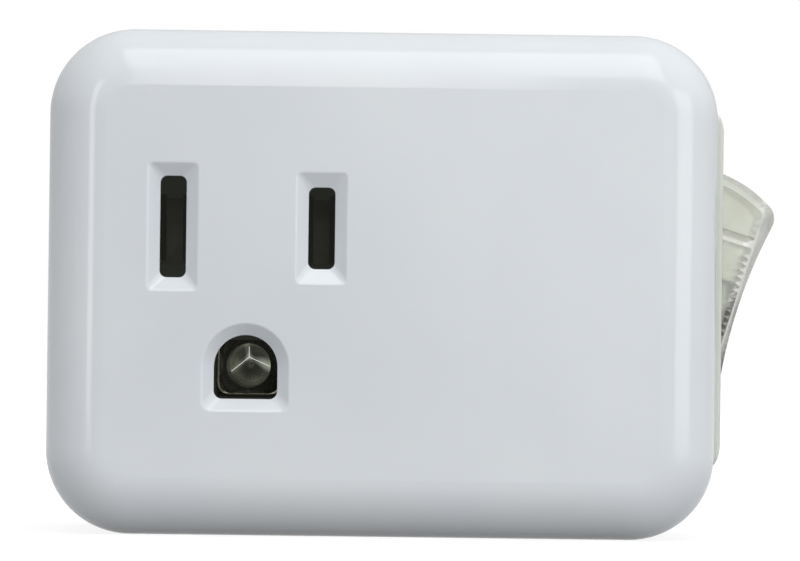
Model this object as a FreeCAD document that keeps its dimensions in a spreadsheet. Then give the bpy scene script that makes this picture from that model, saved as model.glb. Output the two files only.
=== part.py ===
"""Switched outlet tap: a wall plug box with one grounded outlet and a lit rocker switch on its side.

Millimetres. +X is right seen from the front, +Y goes back to the wall, +Z is up.
The origin lies on the rear face, midway between the two plug blades.
"""
import FreeCAD, Part
import math
import os
import re
import Sketcher

SIZES = {
    # case
    "case_width": 57.6,
    "case_height": 43.5,
    "case_depth": 28.0,
    "outlet_left_of_middle": 11.63,
    "outlet_above_middle": 4.7,
    "corner_radius": 7.3,
    "front_edge_radius": 5.0,
    "wall": 2.2,
    "front_thickness": 2.5,
    "cover_thickness": 3.0,
    "cover_edge_radius": 0.8,
    "lip_height": 2.0,
    "lip_thickness": 1.4,
    "lip_gap": 0.15,
    # screws and their bosses
    "boss_radius": 2.5,
    "boss_from_side": 7.8,
    "boss_from_top": 4.45,
    "screw_radius": 1.25,
    "screw_head_radius": 2.2,
    "screw_head_height": 1.4,
    "screw_gap": 0.15,
    "thread_gap": 0.02,
    "screw_sunk": 0.3,
    "case_screw_length": 12.0,
    "cross_width": 0.7,
    "cross_length": 2.4,
    "cross_depth": 0.8,
    "boss_bore_spare": 1.0,
    "screw_end_gap": 0.5,
    # slots, ground hole and their recesses
    "blade_spacing": 12.7,
    "ground_drop": 11.91,
    "neutral_slot_width": 2.25,
    "neutral_slot_height": 8.7,
    "hot_slot_width": 2.28,
    "hot_slot_height": 7.0,
    "slot_corner": 0.6,
    "ground_hole_radius": 2.72,
    "ground_hole_drop": 2.75,
    "ground_hole_corner": 0.7,
    "recess_depth": 1.0,
    "recess_side": 1.03,
    "neutral_recess_end": 1.1,
    "hot_recess_end": 1.25,
    "recess_corner": 0.35,
    "recess_edge": 0.3,
    "ground_recess": 1.0,
    # plug blades and ground pin
    "blade_width": 6.35,
    "blade_thickness": 1.52,
    "blade_length": 17.9,
    "blade_corner": 1.2,
    "blade_bevel": 0.35,
    "blade_hole_radius": 1.98,
    "blade_hole_from_face": 11.9,
    "blade_head_width": 9.0,
    "blade_head_length": 4.6,
    "blade_gap": 0.05,
    "pin_radius": 2.375,
    "pin_wall": 0.375,
    "pin_root_radius": 2.55,
    "pin_length": 21.1,
    "pin_seam": 0.04,
    "seam_left": 0.2,
    "seam_above": 0.66,
    "seam_up_length": 1.0,
    "seam_side_length": 2.15,
    "seam_left_angle": 219.5,
    "seam_right_angle": 337,
    "pin_collar_radius": 3.3,
    "pin_collar_height": 1.35,
    # outlet block and retainer
    "block_half_width": 11.0,
    "block_top": 9.6,
    "block_bottom": 17.6,
    "block_corner": 1.2,
    "block_to_back": 9.5,
    "block_front": 1.5,
    "block_slot_gap": 0.12,
    "chamber_half_width": 2.6,
    "chamber_half_height": 5.2,
    "chamber_gap": 0.2,
    "retainer_thickness": 1.5,
    "stud_radius": 2.2,
    "stud_height": 6.0,
    "stud_gap": 0.2,
    "upper_stud_rise": 6.4,
    "lower_stud_drop": 12.0,
    "lower_stud_offset": 7.6,
    "stud_bore_depth": 5.5,
    # contacts
    "strip": 0.45,
    "contact_width": 5.8,
    "leaf_half_gap": 1.5,
    "pinch_half_gap": 0.72,
    "mouth_half_gap": 1.4,
    "mouth_from_block": 0.3,
    "mouth_length": 2.2,
    "pinch_length": 8.5,
    "tail_length": 5.6,
    "hot_tab_width": 4.4,
    "hot_tab_reach": 3.2,
    "ground_leaf_left": 2.25,
    "ground_leaf_right": 2.85,
    "ground_leaf_bottom": 2.25,
    "ground_leaf_top": 2.1,
    "ground_bend": 0.9,
    "ground_strip": 0.3,
    "ground_edge": 0.1,
    "rivet_radius": 1.0,
    "rivet_head_radius": 1.6,
    "rivet_head_height": 0.5,
    "lug_half_height": 2.0,
    "lug_length": 3.6,
    "barrel_length": 2.6,
    # rocker switch
    "switch_from_back": 13.25,
    "boss_to_switch": 1.0,
    "switch_width": 11.9,
    "switch_depth": 14.5,
    "switch_floor": 1.0,
    "cutout_gap": 0.3,
    "bezel_overlap": 1.7,
    "bezel_width": 14.0,
    "bezel_thickness": 0.8,
    "bezel_corner": 1.0,
    "bezel_edge": 0.3,
    "bezel_ramp": 2.0,
    "bezel_lip": 0.12,
    "wing_reach": 0.8,
    "wing_length": 4.8,
    "wing_width": 6.0,
    "wing_gap": 0.05,
    "cavity_gap": 0.25,
    "rocker_side_gap": 0.2,
    "cavity_depth": 4.9,
    "chamber_end_wall": 4.2,
    "chamber_width": 8.2,
    "pivot_depth": 3.74,
    "trunnion_radius": 1.2,
    "trunnion_gap": 0.05,
    "trunnion_recess": 0.1,
    "rocker_end_gap": 2.95,
    "rocker_face_angle": 36.22,
    "rocker_face_radius": 45.0,
    "rocker_width": 9.2,
    "rocker_wall": 0.85,
    "rocker_face_wall": 0.4,
    "rocker_skirt": 1.5,
    "rocker_corner": 1.53,
    "rocker_tilt": 17.25,
    "rib_offset": 5.83,
    "rib_thickness": 0.83,
    "rib_bottom": 2.0,
    "prism_height": 0.5,
    "prism_pitch": 0.62,
    "prism_flat": 0.04,
    "prism_start": -4.96,
    "prism_length": 9.93,
    "socket_radius": 2.3,
    "socket_depth": 3.5,
    "socket_blind": 1.5,
    "plunger_radius": 1.5,
    "plunger_gap": 0.05,
    "plunger_back_depth": 2.0,
    "plunger_shoulder_depth": 4.6,
    "plunger_tip_depth": 6.75,
    "plunger_tip_radius": 1.0,
    "spring_wire_radius": 0.16,
    "spring_radius": 1.15,
    "spring_turns": 5,
    "spring_gap": 0.05,
    # see-saw contact, terminals and pilot lamp
    "fulcrum_depth": 7.3,
    "fulcrum_gap": 0.05,
    "seesaw_tilt": 7.0,
    "seesaw_thickness": 0.5,
    "seesaw_width": 3.4,
    "seesaw_end": 1.2,
    "seesaw_short_arm": 3.2,
    "button_radius": 1.1,
    "button_height": 0.45,
    "button_gap": 0.05,
    "terminal_end_gap": 2.4,
    "tab_width": 6.3,
    "tab_thickness": 0.8,
    "tab_length": 8.0,
    "tab_corner": 1.0,
    "tab_hole_radius": 0.8,
    "tab_gap": 0.02,
    "stub_width": 3.4,
    "fulcrum_roof": 0.4,
    "load_foot_half": 1.3,
    "load_foot_height": 0.6,
    "lamp_stub_height": 1.4,
    "lamp_shift": 1.8,
    "lamp_base_depth": 7.8,
    "lamp_length": 7.6,
    "lamp_radius": 1.8,
    "lamp_glass_thickness": 0.3,
    "lamp_pinch": 1.0,
    "electrode_radius": 0.3,
    "electrode_length": 4.8,
    "electrode_offset": 0.6,
    "resistor_radius": 0.8,
    "resistor_length": 5.0,
    "resistor_offset": 2.95,
    "resistor_above_floor": 0.9,
    "resistor_start": 2.4,
    "lead_radius": 0.25,
    "lead_drop": 2.0,
    # hookup wires
    "wire_radius": 1.0,
    "wire_gap": 0.05,
    "line_wire_drop": 4.6,
    "line_wire_offset": 3.6,
    "line_wire_forward": 1.2,
    "line_wire_slope": 0.4,
    "line_wire_entry": 0.3,
    "load_wire_offset": 1.2,
    "load_wire_height": 4.2,
    "load_wire_bend": 3.0,
    "neutral_wire_start": 0.2,
    "neutral_wire_height": 0.4,
    "neutral_wire_entry": 0.6,
    "neutral_wire_bend": 1.5,
    "neutral_wire_drop": 3.6,
    "neutral_wire_slope": 0.3,
}

DERIVED = {
    "middle_x": "outlet_left_of_middle",
    "middle_z": "-outlet_above_middle",
    "case_right": "middle_x + case_width / 2",
    "front_face": "-case_depth",
    "front_inside": "front_thickness - case_depth",
    "cover_inside": "-cover_thickness",
    "case_screw_head": "-(screw_sunk + screw_head_height)",
    "block_depth": "case_depth - front_thickness - block_to_back",
    "block_rear": "front_inside + block_depth",
    "retainer_rear": "block_rear + retainer_thickness",
    "ground_z": "-ground_drop",
    "blade_x": "blade_spacing / 2",
    "blade_end": "cover_inside - blade_head_length",
    "rivet_y": "cover_inside - blade_head_length / 2",
    "bridge_front": "block_rear - strip",
    "mouth_y": "front_inside + block_front + mouth_from_block",
    "pinch_y": "mouth_y + mouth_length",
    "shoulder_y": "pinch_y + pinch_length",
    "collar_y": "cover_inside - pin_collar_height",
    "leaf_end": "collar_y - ground_strip",
    "barrel_radius": "wire_radius + strip",
    "barrel_x": "blade_x + blade_thickness / 2 + strip + wire_radius",
    "switch_y": "-switch_from_back",
    "switch_z": "middle_z",
    "switch_length": "case_height - 2 * (boss_from_top + boss_radius + boss_to_switch)",
    "bezel_length": "switch_length + 2 * bezel_overlap",
    "chamber_length": "switch_length - 2 * chamber_end_wall",
    "terminal_pitch": "chamber_length / 2 - terminal_end_gap",
    "seesaw_long_arm": "terminal_pitch + seesaw_end",
    "rocker_radius": "switch_length / 2 - rocker_end_gap",
    "lamp_from_middle": "(chamber_length + lamp_shift) / 3",
    "switch_face": "case_right + bezel_thickness",
    "pivot_x": "switch_face - pivot_depth",
    "cavity_width": "rocker_width + 2 * rocker_side_gap",
    "cavity_radius": "rocker_radius + cavity_gap",
    "floor_outside": "case_right - switch_depth",
    "floor_inside": "floor_outside + switch_floor",
    "tab_end": "floor_outside - tab_length",
    "fulcrum_x": "pivot_x - fulcrum_depth",
    "face_x": "rocker_radius * sin(rocker_face_angle * 1 deg)",
    "face_z": "rocker_radius * cos(rocker_face_angle * 1 deg)",
    "inner_radius": "rocker_radius - rocker_wall",
    "face_middle": "face_x - rocker_face_radius + sqrt(rocker_face_radius ^ 2 - face_z ^ 2)",
    "inner_face_x": "face_middle - rocker_face_wall",
    "face_root": "face_middle - rocker_face_wall / 2",
    "load_z": "switch_z - terminal_pitch",
    "lamp_tab_z": "switch_z + terminal_pitch",
    "lamp_z": "switch_z + lamp_from_middle",
    "lamp_base": "pivot_x - lamp_base_depth",
    "lamp_stub_top": "floor_inside + lamp_stub_height",
    "closed_drop": "button_height + (terminal_pitch + button_radius) * sin(seesaw_tilt * 1 deg)",
    "fixed_button_top": "fulcrum_x - closed_drop - button_gap",
    "load_foot_top": "fixed_button_top - button_height",
    "resistor_x": "floor_inside + resistor_above_floor",
    "resistor_y": "switch_y + resistor_offset",
    "resistor_top": "switch_z + resistor_start",
    "resistor_bottom": "resistor_top - resistor_length",
    "wire_rest": "wire_radius + wire_gap",
}

AROUND_Y = FreeCAD.Vector(0, 1, 0)
TURN = {
    "X": FreeCAD.Rotation(AROUND_Y, 90),
    "Y": FreeCAD.Rotation(FreeCAD.Vector(1, 0, 0), -90),
    "Z": FreeCAD.Rotation(),
}

doc = FreeCAD.newDocument("switched_outlet_tap")
sheet = doc.addObject("Spreadsheet::Sheet", "sizes")
pieces = []


def linked(expression):
    """The expression with each size named by its cell and each derived value written out."""
    def word(found):
        name = found.group(0)
        if name in DERIVED:
            return "(" + linked(DERIVED[name]) + ")"
        return "sizes." + name if name in SIZES else name
    return re.sub(r"[a-z][a-z_0-9]*", word, str(expression))


def size(expression):
    """The expression's value in millimetres or degrees."""
    return float(sheet.evalExpression(linked(expression)))


def point(x, y, z):
    return FreeCAD.Vector(size(x), size(y), size(z))


def piece(made, name):
    """Name a finished sub-part, so that it gets a file of its own."""
    made.Label = name
    pieces.append(made)
    return made


def new_body(name):
    return piece(doc.addObject("PartDesign::Body", name), name)


def place(made, x="0", y="0", z="0", tilt=None):
    """Move a sub-part, and tilt it about its own Y axis if asked."""
    made.setExpression("Placement.Base.x", linked(x))
    made.setExpression("Placement.Base.y", linked(y))
    made.setExpression("Placement.Base.z", linked(z))
    if tilt:
        made.Placement.Rotation = FreeCAD.Rotation(AROUND_Y, size(tilt))
        made.setExpression("Placement.Rotation.Angle", linked(tilt))


def rectangle(left, bottom, right, top, radius=None):
    """Corners of a rectangle, anticlockwise. A third value rounds the way on to the next corner."""
    if radius is None:
        return [(left, bottom), (right, bottom), (right, top), (left, top)]
    near_left, near_right = f"({left}) + {radius}", f"({right}) - {radius}"
    near_bottom, near_top = f"({bottom}) + {radius}", f"({top}) - {radius}"
    return [
        (near_left, bottom), (near_right, bottom, radius),
        (right, near_bottom), (right, near_top, radius),
        (near_right, top), (near_left, top, radius),
        (left, near_top), (left, near_bottom, radius),
    ]


def centred(x, y, width, height, radius=None):
    """A rectangle about its middle."""
    return rectangle(
        f"({x}) - ({width}) / 2", f"({y}) - ({height}) / 2",
        f"({x}) + ({width}) / 2", f"({y}) + ({height}) / 2", radius)


def ground_outline(grow):
    """The ground hole: round above, flat below with rounded corners."""
    radius = f"(ground_hole_radius + {grow})"
    bottom = f"(ground_z - ground_hole_drop - {grow})"
    corner = "ground_hole_corner"
    return [
        (f"{corner} - {radius}", bottom), (f"{radius} - {corner}", bottom, corner),
        (radius, f"{bottom} + {corner}"), (radius, "ground_z", radius),
        ("0", f"ground_z + {radius}", radius),
        (f"-{radius}", "ground_z"), (f"-{radius}", f"{bottom} + {corner}", corner),
    ]


def arc(start, end, radius, hollow):
    """Arc of under a half circle. It bulges to the right of its way, or to the left if hollow."""
    chord = end - start
    side = FreeCAD.Vector(-chord.y, chord.x, 0).normalize() * (-1 if hollow else 1)
    rise = math.sqrt(max(radius ** 2 - (chord.Length / 2) ** 2, 0))
    centre = (start + end) * 0.5 + side * rise
    first, last = (end, start) if hollow else (start, end)
    angles = [math.atan2(p.y - centre.y, p.x - centre.x) for p in (first, last)]
    return Part.ArcOfCircle(Part.Circle(centre, FreeCAD.Vector(0, 0, 1), radius), *angles)


def fix(profile, kind, geometry, vertex, expression):
    """Bind one coordinate or radius in a sketch to an expression."""
    place_in = (geometry,) if vertex is None else (geometry, vertex)
    index = profile.addConstraint(Sketcher.Constraint(kind, *place_in, size(expression)))
    profile.setExpression(f"Constraints[{index}]", linked(expression))


def draw_circle(profile, x, y, radius):
    centre = FreeCAD.Vector(size(x), size(y), 0)
    index = profile.addGeometry(Part.Circle(centre, FreeCAD.Vector(0, 0, 1), size(radius)))
    fix(profile, "DistanceX", index, 3, x)
    fix(profile, "DistanceY", index, 3, y)
    fix(profile, "Radius", index, None, radius)


def draw_outline(profile, corners):
    """A closed outline of straight lines and arcs through the corners."""
    points = [FreeCAD.Vector(size(corner[0]), size(corner[1]), 0) for corner in corners]
    first = profile.GeometryCount
    ends = []
    for index, corner in enumerate(corners):
        start, end = points[index], points[(index + 1) % len(points)]
        hollow = len(corner) == 4
        if len(corner) == 2:
            profile.addGeometry(Part.LineSegment(start, end))
        else:
            profile.addGeometry(arc(start, end, size(corner[2]), hollow))
        ends.append((2, 1) if hollow else (1, 2))
    for index, corner in enumerate(corners):
        following = (index + 1) % len(corners)
        profile.addConstraint(Sketcher.Constraint(
            "Coincident", first + index, ends[index][1], first + following, ends[following][0]))
        fix(profile, "DistanceX", first + index, ends[index][0], corner[0])
        fix(profile, "DistanceY", first + index, ends[index][0], corner[1])
        if len(corner) > 2:
            fix(profile, "Radius", first + index, None, corner[2])


def sketch(body, plane, level, outlines):
    """A sketch on one of the body's own planes, moved to its level. A tuple is a circle."""
    profile = body.newObject("Sketcher::SketchObject", "profile")
    support = [item for item in body.Origin.OriginFeatures if item.Role == plane + "_Plane"][0]
    profile.AttachmentSupport = [(support, "")]
    profile.MapMode = "FlatFace"
    sign = "-" if plane == "XZ" else ""
    profile.setExpression("AttachmentOffset.Base.z", f"{sign}({linked(level)})")
    for outline in outlines:
        if isinstance(outline, tuple):
            draw_circle(profile, *outline)
        else:
            draw_outline(profile, outline)
    return profile


def extruded(body, kind, plane, level, outlines, length, toward):
    """Add or cut along the plane's axis: toward is 1 or -1 on that axis, or 0 for both ways."""
    profile = sketch(body, plane, level, outlines)
    feature = body.newObject("PartDesign::" + kind, kind.lower())
    feature.Profile = profile
    feature.setExpression("Length", linked(length))
    if toward == 0:
        feature.SideType = "Symmetric"
    else:
        own_way = (-1 if plane == "XZ" else 1) * (1 if kind == "Pad" else -1)
        feature.Reversed = own_way != toward
    return feature


def pad(body, plane, level, outlines, length, toward=0):
    return extruded(body, "Pad", plane, level, outlines, length, toward)


def pocket(body, plane, level, outlines, length, toward=0):
    """Cut, and make sure that it takes something away."""
    doc.recompute()
    before = body.Shape.Volume
    feature = extruded(body, "Pocket", plane, level, outlines, length, toward)
    doc.recompute()
    if body.Shape.Volume > before - 1e-6:
        raise ValueError(f"{body.Label}: {feature.Name} cuts nothing")
    return feature


def funnel(body, wide, narrow):
    """Recess of a slot, from its wide outline on the front face to the slot itself."""
    feature_profile = sketch(body, "XZ", "front_face", [wide])
    section = sketch(body, "XZ", "front_face + recess_depth", [narrow])
    feature = body.newObject("PartDesign::SubtractiveLoft", "recess")
    feature.Profile = feature_profile
    feature.Sections = [section]
    feature.Ruled = True
    return feature


def revolved(body, corners):
    """A turned piece about the body's X axis, from half its outline."""
    profile = sketch(body, "XY", "0", [corners])
    feature = body.newObject("PartDesign::Revolution", "turned")
    feature.Profile = profile
    feature.ReferenceAxis = (profile, ["H_Axis"])
    feature.Angle = 360
    return feature


def dressed(body, kind, extent, chosen):
    """Fillet or chamfer the edges that are chosen."""
    doc.recompute()
    base = body.Tip
    names = [f"Edge{n}" for n, edge in enumerate(base.Shape.Edges, start=1) if chosen(edge)]
    if not names:
        raise ValueError(f"{body.Label}: no edge to dress")
    feature = body.newObject("PartDesign::" + kind, kind.lower())
    feature.Base = (base, names)
    feature.setExpression("Radius" if kind == "Fillet" else "Size", linked(extent))
    return feature


def lies(edge, axis, expression):
    """Whether the whole edge lies at this level on the axis."""
    value = size(expression)
    low = getattr(edge.BoundBox, axis + "Min")
    high = getattr(edge.BoundBox, axis + "Max")
    return abs(low - value) < 1e-3 and abs(high - value) < 1e-3


def cylinder(axis, x, y, z, radius, length):
    made = doc.addObject("Part::Cylinder", "cylinder")
    made.setExpression("Radius", linked(radius))
    made.setExpression("Height", linked(length))
    made.Placement = FreeCAD.Placement(point(x, y, z), TURN[axis])
    place(made, x, y, z)
    return made


def block(x, y, z, along_x, along_y, along_z):
    """A box about its middle in X and Z, from its level in Y."""
    made = doc.addObject("Part::Box", "block")
    made.setExpression("Length", linked(along_x))
    made.setExpression("Width", linked(along_y))
    made.setExpression("Height", linked(along_z))
    place(made, f"({x}) - ({along_x}) / 2", y, f"({z}) - ({along_z}) / 2")
    return made


def fused(members):
    made = doc.addObject("Part::MultiFuse", "joined")
    made.Shapes = members
    return made


def group(name, members):
    made = doc.addObject("Part::Compound", name)
    made.Links = members
    return piece(made, name)


def screw(x, head_y, z, length):
    """A cross-head screw along Y, its head toward the rear."""
    shank = cylinder("Y", x, f"({head_y}) - ({length})", z, "screw_radius", length)
    head = cylinder("Y", x, head_y, z, "screw_head_radius", "screw_head_height")
    cross_y = f"({head_y}) + screw_head_height - cross_depth"
    cross = fused([
        block(x, cross_y, z, "cross_length", "2 * cross_depth", "cross_width"),
        block(x, cross_y, z, "cross_width", "2 * cross_depth", "cross_length"),
    ])
    made = doc.addObject("Part::Cut", "screw")
    made.Base = fused([shank, head])
    made.Tool = cross
    return made


def rounded_path(points):
    """Straight runs joined by tangent arcs, each as large as its two runs allow."""
    edges, radii = [], []
    start = points[0]
    for before, corner, after in zip(points, points[1:], points[2:]):
        back, onward = before - corner, after - corner
        reach = 0.45 * min(back.Length, onward.Length)
        half_turn = (math.pi - back.getAngle(onward)) / 2
        radius = reach / math.tan(half_turn)
        back.normalize()
        onward.normalize()
        inward = (back + onward).normalize()
        middle = corner + inward * (math.hypot(radius, reach) - radius)
        edges.append(Part.LineSegment(start, corner + back * reach).toShape())
        edges.append(Part.Arc(corner + back * reach, middle, corner + onward * reach).toShape())
        start = corner + onward * reach
        radii.append(round(radius, 2))
    edges.append(Part.LineSegment(start, points[-1]).toShape())
    return Part.Wire(edges), radii


def tube(places, radius):
    """A round wire through the places."""
    points = [point(*spot) for spot in places]
    path, radii = rounded_path(points)
    ring = Part.Wire(Part.makeCircle(size(radius), points[0], points[1] - points[0]))
    solid = path.makePipeShell([ring], True, False)
    return solid, path.Length, radii


def wire(name, places):
    """A hookup wire, whole along its route."""
    solid, length, radii = tube(places, "wire_radius")
    made = doc.addObject("Part::Feature", name)
    made.Shape = solid
    expected = math.pi * size("wire_radius") ** 2 * length
    print(name, "bend radii", radii, "volume", round(solid.Volume, 3), "expected", round(expected, 3))
    return piece(made, name)


def boss_places():
    """Middles of the four case screws, at the corners of the case."""
    return [
        (f"middle_x + {side} * (case_width / 2 - boss_from_side)",
         f"middle_z + {rise} * (case_height / 2 - boss_from_top)")
        for side in (-1, 1) for rise in (-1, 1)]


def stud_places():
    """Middles of the three screws that hold the outlet block to the front."""
    return [
        ("0", "upper_stud_rise"),
        ("-lower_stud_offset", "-lower_stud_drop"),
        ("lower_stud_offset", "-lower_stud_drop")]


def case_outline(inset):
    """The case seen from the front, drawn in by the inset."""
    return centred(
        "middle_x", "middle_z", f"case_width - 2 * ({inset})", f"case_height - 2 * ({inset})",
        f"(corner_radius - ({inset}))")


def blade_slots(grow):
    """The two blade slots, neutral at the left, each side grown by the same amount."""
    return [
        centred("-blade_x", "0", f"neutral_slot_width + 2 * {grow}",
                f"neutral_slot_height + 2 * {grow}", "slot_corner"),
        centred("blade_x", "0", f"hot_slot_width + 2 * {grow}",
                f"hot_slot_height + 2 * {grow}", "slot_corner")]


def make_front_shell():
    """Deep cup with the outlet's slots and recesses, screw bosses and the switch opening."""
    body = new_body("front_shell")
    depth = "case_depth - cover_thickness"
    pad(body, "XZ", "cover_inside", [case_outline("0")], depth, -1)
    dressed(body, "Fillet", "front_edge_radius", lambda edge: lies(edge, "Y", "front_face"))
    pocket(body, "XZ", "cover_inside", [case_outline("wall")], f"{depth} - front_thickness", -1)
    for x, z in boss_places():
        pad(body, "XZ", "cover_inside", [(x, z, "boss_radius")], f"{depth} - front_thickness", -1)
    bore = "screw_radius + thread_gap"
    reach = "case_screw_length + case_screw_head - cover_inside + boss_bore_spare"
    pocket(body, "XZ", "cover_inside", [(x, z, bore) for x, z in boss_places()], reach, -1)
    for x, z in stud_places():
        pad(body, "XZ", "front_inside", [(x, z, "stud_radius")], "stud_height", 1)
    pocket(body, "XZ", "front_inside + stud_height",
           [(x, z, bore) for x, z in stud_places()], "stud_bore_depth", -1)
    wide = "+ 2 * recess_side"
    funnel(
        body,
        centred("-blade_x", "0", f"neutral_slot_width {wide}",
                "neutral_slot_height + 2 * neutral_recess_end", "recess_corner"),
        blade_slots("0")[0])
    funnel(
        body,
        centred("blade_x", "0", f"hot_slot_width {wide}",
                "hot_slot_height + 2 * hot_recess_end", "recess_corner"),
        blade_slots("0")[1])
    funnel(body, ground_outline("ground_recess"), ground_outline("0"))
    dressed(body, "Fillet", "recess_edge", lambda edge: lies(edge, "Y", "front_face")
            and edge.BoundBox.XMin > size("-block_half_width")
            and edge.BoundBox.XMax < size("block_half_width"))
    pocket(body, "XZ", "front_inside", blade_slots("0") + [ground_outline("0")],
           "front_thickness", -1)
    opening = centred("switch_y", "switch_z", "switch_width + 2 * cutout_gap",
                      "switch_length + 2 * cutout_gap")
    pocket(body, "YZ", "case_right - wall", [opening], "wall", 1)


def make_rear_cover():
    """Flat rear plate with a lip inside the shell, sunk screw holes and the plug's slots."""
    body = new_body("rear_cover")
    pad(body, "XZ", "0", [case_outline("0")], "cover_thickness", -1)
    dressed(body, "Fillet", "cover_edge_radius", lambda edge: lies(edge, "Y", "0"))
    lip_outside = "wall + lip_gap"
    pad(body, "XZ", "cover_inside",
        [case_outline(lip_outside), case_outline(f"{lip_outside} + lip_thickness")],
        "lip_height", -1)
    pocket(body, "XZ", "cover_inside",
           [(x, z, "boss_radius + screw_gap") for x, z in boss_places()], "lip_height", -1)
    pocket(body, "XZ", "0", [(x, z, "screw_radius + screw_gap") for x, z in boss_places()],
           "cover_thickness", -1)
    pocket(body, "XZ", "0", [(x, z, "screw_head_radius + screw_gap") for x, z in boss_places()],
           "-case_screw_head", -1)
    slots = [centred(f"{side} * blade_x", "0", "blade_thickness + 2 * blade_gap",
                     "blade_width + 2 * blade_gap") for side in (-1, 1)]
    pocket(body, "XZ", "0", slots + [("0", "ground_z", "pin_root_radius + blade_gap")],
           "cover_thickness", -1)


def make_outlet_block():
    """Black block behind the front face, with a chamber for each contact, open to the rear."""
    body = new_body("outlet_block")
    outline = rectangle("-block_half_width", "-block_bottom", "block_half_width", "block_top",
                        "block_corner")
    pad(body, "XZ", "front_inside", [outline], "block_depth", 1)
    pocket(body, "XZ", "front_inside",
           blade_slots("block_slot_gap") + [ground_outline("block_slot_gap")], "block_front", 1)
    chambers = [centred(f"{side} * blade_x", "0", "2 * chamber_half_width",
                        "2 * chamber_half_height") for side in (-1, 1)]
    chambers.append(rectangle(
        "-(ground_leaf_left + ground_strip + chamber_gap)",
        "ground_z - ground_leaf_bottom - ground_strip - chamber_gap",
        "ground_leaf_right + ground_strip + chamber_gap",
        "ground_z + ground_hole_radius + block_slot_gap + chamber_gap"))
    pocket(body, "XZ", "block_rear", chambers, "block_depth - block_front", -1)
    pocket(body, "XZ", "front_inside",
           [(x, z, "stud_radius + stud_gap") for x, z in stud_places()],
           "stud_height + stud_gap", 1)
    pocket(body, "XZ", "block_rear", [(x, z, "screw_radius + screw_gap") for x, z in stud_places()],
           "block_depth", -1)
    notch = rectangle("blade_x", "-(hot_tab_width / 2 + chamber_gap)",
                      "block_half_width", "hot_tab_width / 2 + chamber_gap")
    pocket(body, "XZ", "block_rear", [notch], "strip", -1)


def make_contact_retainer():
    """Plate that shuts the contacts into the block, with a way out for the neutral and ground."""
    body = new_body("contact_retainer")
    outline = rectangle("-block_half_width", "-block_bottom", "block_half_width", "block_top",
                        "block_corner")
    pad(body, "XZ", "block_rear", [outline], "retainer_thickness", 1)
    tail = rectangle("blade_thickness / 2 - blade_x - chamber_gap",
                     "-(contact_width / 2 + chamber_gap)",
                     "blade_thickness / 2 + strip - blade_x + chamber_gap",
                     "contact_width / 2 + chamber_gap")
    channel = rectangle("-(ground_leaf_left + ground_strip + chamber_gap)",
                        "ground_z - ground_leaf_bottom - ground_strip - chamber_gap",
                        "ground_leaf_right + ground_strip + chamber_gap",
                        "ground_z + ground_leaf_top + chamber_gap")
    holes = [(x, z, "screw_radius + screw_gap") for x, z in stud_places()]
    pocket(body, "XZ", "block_rear", [tail, channel] + holes, "retainer_thickness", 1)


def leaf_outline(middle):
    """A spring contact seen from above: two leaves, pinched near the mouth, and their bridge."""
    outer = [("mouth_half_gap + strip", "mouth_y"), ("pinch_half_gap + strip", "pinch_y"),
             ("leaf_half_gap + strip", "shoulder_y"), ("leaf_half_gap + strip", "block_rear")]
    inner = [("mouth_half_gap", "mouth_y"), ("pinch_half_gap", "pinch_y"),
             ("leaf_half_gap", "shoulder_y"), ("leaf_half_gap", "bridge_front")]
    way = [(1, across, along) for across, along in outer]
    way += [(-1, across, along) for across, along in reversed(outer)]
    way += [(-1, across, along) for across, along in inner]
    way += [(1, across, along) for across, along in reversed(inner)]
    return [(f"{middle} + {side} * ({across})", along) for side, across, along in way]


def make_neutral_contact():
    """Female contact of the wide slot. Its tail lies against the neutral blade."""
    body = new_body("neutral_contact")
    pad(body, "XY", "0", [leaf_outline("-blade_x")], "contact_width")
    face = "blade_thickness / 2 - blade_x"
    tail = rectangle(face, "bridge_front", f"{face} + strip", "block_rear + tail_length")
    pad(body, "XY", "0", [tail], "contact_width")
    pocket(body, "YZ", face, [("rivet_y", "0", "rivet_radius")], "strip", 1)


def make_hot_contact():
    """Female contact of the narrow slot, with a tab at its side for the load wire."""
    body = new_body("hot_contact")
    pad(body, "XY", "0", [leaf_outline("blade_x")], "contact_width")
    tab = rectangle("blade_x + leaf_half_gap", "bridge_front",
                    "block_half_width + hot_tab_reach", "block_rear")
    pad(body, "XY", "0", [tab], "hot_tab_width")


def make_ground_contact():
    """Channel below and beside the ground pin's way in, held by a ring on the plug's pin."""
    body = new_body("ground_contact")
    top = "ground_z + ground_leaf_top"
    base = "ground_z - ground_leaf_bottom"
    bend, outer_bend = "ground_bend", "(ground_bend + ground_strip)"
    left, right = "-(ground_leaf_left + ground_strip)", "ground_leaf_right + ground_strip"
    channel = [
        (f"{left} + {outer_bend}", f"{base} - ground_strip"),
        (f"{right} - {outer_bend}", f"{base} - ground_strip", outer_bend),
        (right, f"{base} - ground_strip + {outer_bend}"), (right, top), ("ground_leaf_right", top),
        ("ground_leaf_right", f"{base} + {bend}", bend, "hollow"),
        (f"ground_leaf_right - {bend}", base),
        (f"{bend} - ground_leaf_left", base, bend, "hollow"),
        ("-ground_leaf_left", f"{base} + {bend}"), ("-ground_leaf_left", top),
        (left, top), (left, f"{base} - ground_strip + {outer_bend}", outer_bend),
    ]
    pad(body, "XZ", "mouth_y", [channel], "leaf_end - mouth_y", 1)
    dressed(body, "Fillet", "ground_edge", lambda edge: lies(edge, "Y", "mouth_y")
            and not lies(edge, "Z", top))
    ring = rectangle("-(ground_leaf_left + ground_strip)", f"{base} - ground_strip",
                     "ground_leaf_right + ground_strip", "ground_z + pin_collar_radius")
    pad(body, "XZ", "leaf_end", [ring], "ground_strip", 1)
    pocket(body, "XZ", "leaf_end", [("0", "ground_z", "pin_radius")], "ground_strip", 1)


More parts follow.
